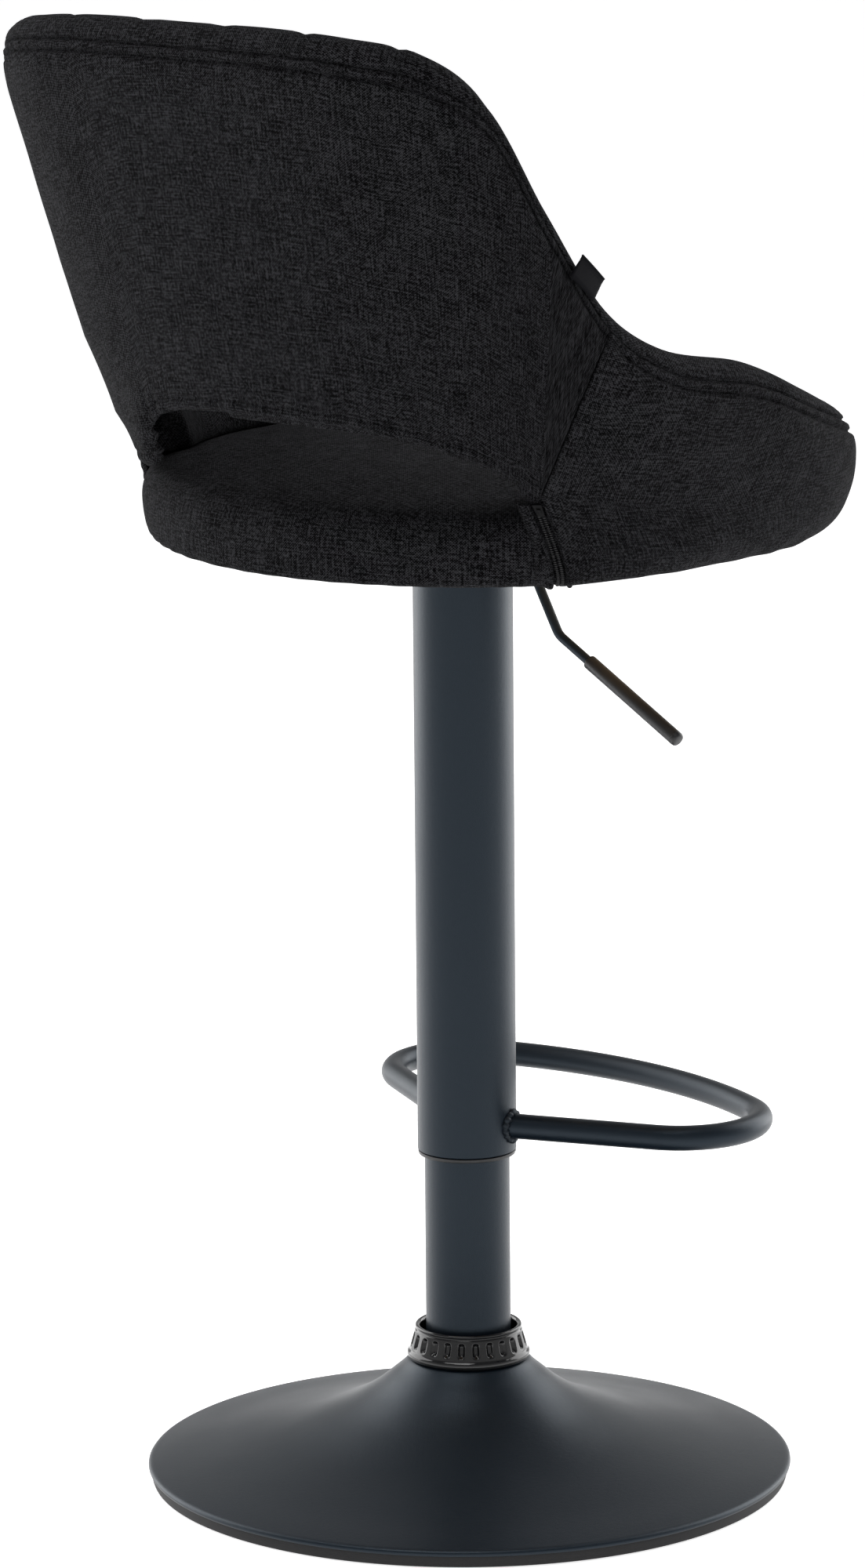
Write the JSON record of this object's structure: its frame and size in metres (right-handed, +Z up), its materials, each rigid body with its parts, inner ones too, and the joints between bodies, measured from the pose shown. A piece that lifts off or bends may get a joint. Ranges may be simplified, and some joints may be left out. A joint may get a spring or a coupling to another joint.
{
  "type": "bar stool",
  "caption": "Height-adjustable swivel bar stool: upholstered bucket seat with an open back, gas-lift column, release lever, bent tube footrest and trumpet base.",
  "frame": {"origin": "on the column's axis, in the plane of the floor", "axes": "+Z up along the column, the sitter faces -Y, the sitter's left is +X"},
  "size_m": [0.4256, 0.4525, 0.8872],
  "materials": {
    "base_cover": "satin black powder coat, fine orange peel",
    "ballast_plate": "raw casting",
    "base_underlay": "black foam rubber sheet",
    "edge_ring": "matt black rubber",
    "base_socket": "turned steel",
    "collar_ring": "gloss black moulding",
    "lower_column": "satin black powder coat",
    "column_foot": "turned steel",
    "foot_washer": "zinc plated",
    "foot_nut": "zinc plated",
    "guide_bush": "moulded acetal",
    "thrust_bearing": "hardened steel",
    "piston_rod": "hard chrome",
    "piston": "moulded",
    "race_washer": "hardened steel",
    "bump_stop": "matt black rubber",
    "gas_cylinder": "black lacquer",
    "cylinder_seal": "moulded",
    "outer_column": "satin black powder coat",
    "column_cap": "pressed steel",
    "column_glide": "satin black moulding",
    "footrest_bar": "satin black powder coat",
    "left_weld": "powder coat over a rough weld bead",
    "right_weld": "powder coat over a rough weld bead",
    "seat_plate": "satin black powder coat",
    "hub_sleeve": "satin black powder coat",
    "lever_bracket": "satin black powder coat",
    "lever_pin": "zinc plated",
    "seat_board": "raw plywood",
    "back_frame": "bent plywood",
    "seat_cushion": "black linen-look woven cover over foam",
    "seat_skirt": "black linen-look woven cover",
    "back_panel": "black linen-look woven cover",
    "back_pad": "black linen-look woven cover over foam",
    "zip_left": "nylon coil zip on woven tape",
    "zip_right": "nylon coil zip on woven tape",
    "slider_left": "black lacquered slider",
    "slider_right": "black lacquered slider",
    "label_tag": "plain black woven tape, blank",
    "plate_bolt_1": "zinc plated",
    "plate_bolt_2": "zinc plated",
    "plate_bolt_3": "zinc plated",
    "plate_bolt_4": "zinc plated",
    "board_tnut_1": "zinc plated",
    "board_tnut_2": "zinc plated",
    "board_tnut_3": "zinc plated",
    "board_tnut_4": "zinc plated",
    "lever_rod": "satin black powder coat",
    "lever_grip": "satin black moulding",
    "valve_button": "turned steel"
  },
  "bodies": {
    "base": {"base_cover": "base_cover", "ballast_plate": "ballast_plate", "base_underlay": "base_underlay", "edge_ring": "edge_ring", "base_socket": "base_socket", "collar_ring": "collar_ring", "lower_column": "lower_column", "column_foot": "column_foot", "foot_washer": "foot_washer", "foot_nut": "foot_nut", "guide_bush": "guide_bush", "thrust_bearing": "thrust_bearing"},
    "rod": {"piston_rod": "piston_rod", "piston": "piston", "race_washer": "race_washer", "bump_stop": "bump_stop"},
    "upper": {"gas_cylinder": "gas_cylinder", "cylinder_seal": "cylinder_seal", "outer_column": "outer_column", "column_cap": "column_cap", "column_glide": "column_glide", "footrest_bar": "footrest_bar", "left_weld": "left_weld", "right_weld": "right_weld", "seat_plate": "seat_plate", "hub_sleeve": "hub_sleeve", "lever_bracket": "lever_bracket", "lever_pin": "lever_pin", "seat_board": "seat_board", "back_frame": "back_frame", "seat_cushion": "seat_cushion", "seat_skirt": "seat_skirt", "back_panel": "back_panel", "back_pad": "back_pad", "zip_left": "zip_left", "zip_right": "zip_right", "slider_left": "slider_left", "slider_right": "slider_right", "label_tag": "label_tag", "plate_bolt_1": "plate_bolt_1", "plate_bolt_2": "plate_bolt_2", "plate_bolt_3": "plate_bolt_3", "plate_bolt_4": "plate_bolt_4", "board_tnut_1": "board_tnut_1", "board_tnut_2": "board_tnut_2", "board_tnut_3": "board_tnut_3", "board_tnut_4": "board_tnut_4"},
    "lever": {"lever_rod": "lever_rod", "lever_grip": "lever_grip"},
    "button": {"valve_button": "valve_button"}
  },
  "joints": [
    {"name": "swivel", "type": "hinge", "parent": "base", "child": "rod", "pos_m": [0, 0, 0.02], "axis": [0, 0, 1], "continuous": true},
    {"name": "height", "type": "slide", "parent": "rod", "child": "upper", "axis": [0, 0, 1], "range_m": [0, 0.21]},
    {"name": "lever_lift", "type": "hinge", "parent": "upper", "child": "lever", "pos_m": [-0.034, 0, 0.5594], "axis": [0, 1, 0], "range_deg": [0, 8], "stiffness_Nm_per_rad": 20},
    {"name": "valve_press", "type": "slide", "parent": "upper", "child": "button", "axis": [0, 0, -1], "range_m": [0, 0.0045], "stiffness_N_per_m": 2000}
  ],
  "couplings": [
    {"joint": "valve_press", "follows": "lever_lift", "m_per_rad": 0.03}
  ]
}
